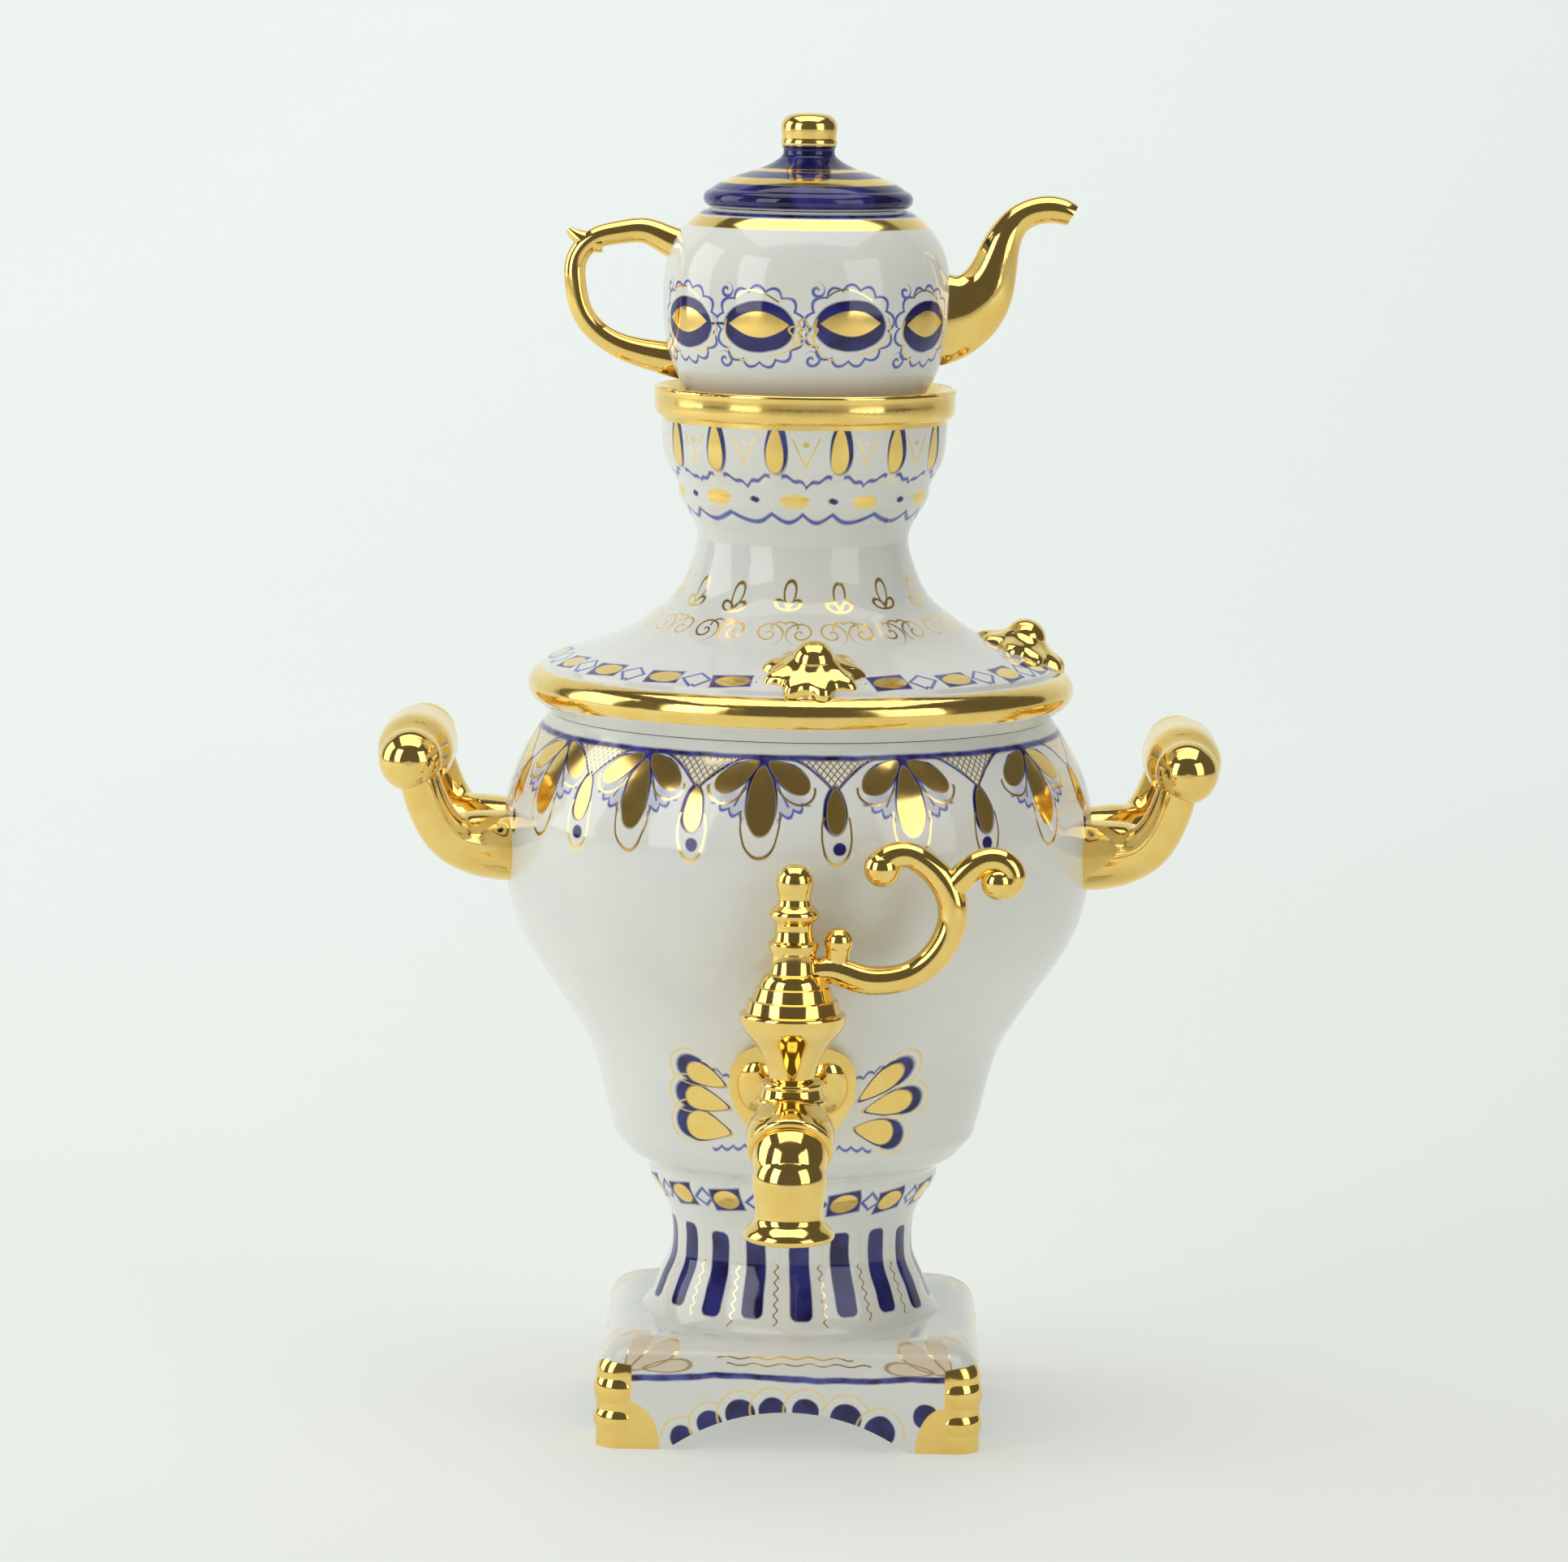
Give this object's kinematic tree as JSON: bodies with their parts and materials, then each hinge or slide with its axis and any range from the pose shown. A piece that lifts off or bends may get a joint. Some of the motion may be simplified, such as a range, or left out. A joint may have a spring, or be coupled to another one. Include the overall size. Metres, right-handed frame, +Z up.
{
  "type": "porcelain samovar set",
  "caption": "Painted porcelain samovar on a square plinth, with gilded handles and a turning tap key, a lift-off lid with a gallery, and a small lidded teapot standing in it.",
  "frame": {"origin": "on the floor, at the bottom centre of the whole set's bounding box: under the middle of the plinth from side to side, and midway between the tap's mouth and the urn's back, which is 24.55 mm in front of the urn's axis", "axes": "+Z up, -Y towards the tap, +X to the right of someone facing the tap, which is the side of the teapot's spout"},
  "size_m": [0.2574, 0.2294, 0.4001],
  "materials": {
    "white_glaze": "gloss white glaze with cobalt and gold painting",
    "gilding": "fired bright gold over glazed porcelain",
    "cobalt": "cobalt glaze, gloss, with gold lines"
  },
  "bodies": {
    "samovar": {"plinth": "white_glaze", "corner_leaves": "gilding", "corner_bosses": "gilding", "pedestal": "white_glaze", "urn_body": "white_glaze", "grip_right": "gilding", "grip_left": "gilding", "arm_right_front": "gilding", "arm_right_rear": "gilding", "arm_left_front": "gilding", "arm_left_rear": "gilding", "tap_escutcheon": "gilding", "tap_barrel": "gilding", "tap_nozzle": "gilding"},
    "tap_key": {"key_plug": "gilding", "key_scroll": "gilding"},
    "urn_lid": {"lid_cover": "white_glaze", "teapot_gallery": "white_glaze", "lid_ornament_front": "gilding", "lid_ornament_side": "gilding"},
    "teapot": {"teapot_bowl": "white_glaze", "teapot_spout": "gilding", "teapot_handle": "gilding"},
    "teapot_lid": {"teapot_cover": "cobalt", "teapot_knob": "cobalt"}
  },
  "joints": [
    {"name": "key_turn", "type": "hinge", "parent": "samovar", "child": "tap_key", "pos_m": [0, -0.07545, 0.11], "axis": [0, 0, 1], "range_deg": [-180, 0]},
    {"name": "lid_lift", "type": "slide", "parent": "samovar", "child": "urn_lid", "axis": [0, 0, 1], "range_m": [0, 0.06]},
    {"name": "teapot_lift", "type": "slide", "parent": "urn_lid", "child": "teapot", "axis": [0, 0, 1], "range_m": [0, 0.05]},
    {"name": "cover_lift", "type": "slide", "parent": "teapot", "child": "teapot_lid", "axis": [0, 0, 1], "range_m": [0, 0.04]}
  ]
}
